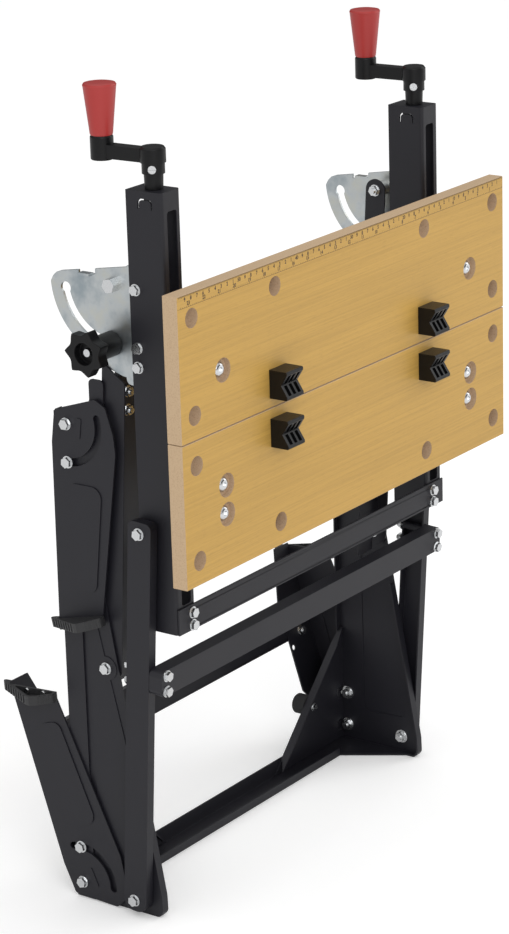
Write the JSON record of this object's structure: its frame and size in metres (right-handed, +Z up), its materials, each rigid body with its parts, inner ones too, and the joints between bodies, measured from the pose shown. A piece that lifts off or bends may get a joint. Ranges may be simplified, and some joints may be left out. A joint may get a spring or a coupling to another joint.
{
  "type": "folding workbench",
  "caption": "Folding workbench, stored upright: clamping board top on steel frame with side cranks and swing-out legs",
  "frame": {"origin": "middle of the bottom face of the bounding box, on the floor", "axes": "+X along the boards, -Y the side the board faces look to, +Z up in the folded standing pose"},
  "size_m": [0.605, 0.312, 0.8865],
  "materials": {
    "frame_steel": "satin black powder coat",
    "board_wood": "printed beech face with bare fibreboard edges",
    "bolt_zinc": "bright zinc plated",
    "plate_zinc": "passivated zinc plating",
    "black_plastic": "moulded, lightly textured",
    "grip_red": "moulded, satin",
    "shoe_plastic": "moulded, ribbed",
    "bumper_rubber": "matt"
  },
  "bodies": {
    "base": {"side_plate_left": "frame_steel", "side_plate_right": "frame_steel", "base_bar": "frame_steel", "base_head_bar": "frame_steel", "gusset_left": "frame_steel", "gusset_right": "frame_steel", "foot_bumpers": "bumper_rubber", "bumper_bolts": "bolt_zinc", "post_pivot_bolts": "bolt_zinc", "strut_foot_bolts": "bolt_zinc", "extension_bolts": "bolt_zinc"},
    "posts": {"post_left": "frame_steel", "post_right": "frame_steel", "post_crossbar": "frame_steel", "post_crossbar_bolts": "bolt_zinc", "clamp_studs": "bolt_zinc"},
    "struts": {"strut_left": "frame_steel", "strut_right": "frame_steel", "strut_crossbar": "frame_steel", "strut_crossbar_bolts": "bolt_zinc"},
    "table": {"arm_left": "frame_steel", "arm_right": "frame_steel", "arm_crossbar": "frame_steel", "arm_crossbar_bolts": "bolt_zinc", "quadrant_left": "plate_zinc", "quadrant_right": "plate_zinc", "quadrant_bolts": "bolt_zinc", "table_pivot_bolts": "bolt_zinc", "fixed_jaw": "board_wood", "fixed_bracket_left": "frame_steel", "fixed_bracket_right": "frame_steel", "fixed_jaw_screws": "bolt_zinc"},
    "jaw": {"moving_jaw": "board_wood", "carriage_left": "frame_steel", "carriage_right": "frame_steel", "moving_jaw_screws": "bolt_zinc"},
    "crank_l": {"spindle_left": "bolt_zinc", "crank_left": "black_plastic"},
    "crank_r": {"spindle_right": "bolt_zinc", "crank_right": "black_plastic"},
    "grip_l": {"grip_left": "grip_red"},
    "grip_r": {"grip_right": "grip_red"},
    "knob_l": {"star_knob_left": "black_plastic"},
    "knob_r": {"star_knob_right": "black_plastic"},
    "dog_ul": {"dog_upper_left": "black_plastic"},
    "dog_ur": {"dog_upper_right": "black_plastic"},
    "dog_ll": {"dog_lower_left": "black_plastic"},
    "dog_lr": {"dog_lower_right": "black_plastic"},
    "lower_legs": {"lower_leg_left": "frame_steel", "lower_leg_right": "frame_steel", "lower_leg_crossbar": "frame_steel", "lower_leg_bolts": "bolt_zinc", "lower_shoe_left": "shoe_plastic", "lower_shoe_right": "shoe_plastic"},
    "upper_legs": {"upper_leg_left": "frame_steel", "upper_leg_right": "frame_steel", "upper_leg_crossbar": "frame_steel", "upper_leg_bolts": "bolt_zinc", "upper_shoe_left": "shoe_plastic", "upper_shoe_right": "shoe_plastic"}
  },
  "joints": [
    {"name": "fold", "type": "hinge", "parent": "base", "child": "posts", "pos_m": [0, 0.01198, 0.272], "axis": [1, 0, 0], "range_deg": [0, 76]},
    {"name": "strut_swing", "type": "hinge", "parent": "base", "child": "struts", "pos_m": [0, -0.02202, 0.02], "axis": [1, 0, 0], "range_deg": [0, 76]},
    {"name": "table_tilt", "type": "hinge", "parent": "posts", "child": "table", "pos_m": [0, -0.01402, 0.68598], "axis": [1, 0, 0], "range_deg": [-76, 0]},
    {"name": "jaw_slide", "type": "slide", "parent": "table", "child": "jaw", "axis": [0, 0, 1], "range_m": [0, 0.11]},
    {"name": "crank_turn_l", "type": "hinge", "parent": "table", "child": "crank_l", "pos_m": [-0.2365, -0.06102, 0.7], "axis": [0, 0, 1], "range_deg": [0, 7921]},
    {"name": "crank_turn_r", "type": "hinge", "parent": "table", "child": "crank_r", "pos_m": [0.2365, -0.06102, 0.7], "axis": [0, 0, 1], "range_deg": [0, 7921]},
    {"name": "grip_spin_l", "type": "hinge", "parent": "crank_l", "child": "grip_l", "pos_m": [-0.2365, 0.00198, 0.85], "axis": [0, 0, 1], "continuous": true},
    {"name": "grip_spin_r", "type": "hinge", "parent": "crank_r", "child": "grip_r", "pos_m": [0.2365, 0.00198, 0.85], "axis": [0, 0, 1], "continuous": true},
    {"name": "knob_turn_l", "type": "hinge", "parent": "posts", "child": "knob_l", "pos_m": [-0.27, -0.01016, 0.62461], "axis": [1, 0, 0], "continuous": true},
    {"name": "knob_turn_r", "type": "hinge", "parent": "posts", "child": "knob_r", "pos_m": [0.27, -0.01016, 0.62461], "axis": [1, 0, 0], "continuous": true},
    {"name": "dog_swivel_ul", "type": "hinge", "parent": "jaw", "child": "dog_ul", "pos_m": [-0.1395, -0.13402, 0.5756], "axis": [0, 1, 0], "continuous": true},
    {"name": "dog_swivel_ur", "type": "hinge", "parent": "jaw", "child": "dog_ur", "pos_m": [0.1395, -0.13402, 0.5756], "axis": [0, 1, 0], "continuous": true},
    {"name": "dog_swivel_ll", "type": "hinge", "parent": "table", "child": "dog_ll", "pos_m": [-0.1395, -0.13402, 0.524], "axis": [0, 1, 0], "continuous": true},
    {"name": "dog_swivel_lr", "type": "hinge", "parent": "table", "child": "dog_lr", "pos_m": [0.1395, -0.13402, 0.524], "axis": [0, 1, 0], "continuous": true},
    {"name": "lower_legs_swing", "type": "hinge", "parent": "base", "child": "lower_legs", "pos_m": [0, 0.05428, 0.019], "axis": [-1, 0, 0], "range_deg": [-17, 88]},
    {"name": "upper_legs_swing", "type": "hinge", "parent": "base", "child": "upper_legs", "pos_m": [0, 0.04698, 0.534], "axis": [1, 0, 0], "range_deg": [0, 105]}
  ],
  "couplings": [
    {"joint": "strut_swing", "follows": "fold", "ratio": 1},
    {"joint": "table_tilt", "follows": "fold", "ratio": -1},
    {"joint": "crank_turn_l", "follows": "jaw_slide", "rad_per_m": 1256.6},
    {"joint": "crank_turn_r", "follows": "jaw_slide", "rad_per_m": 1256.6}
  ]
}
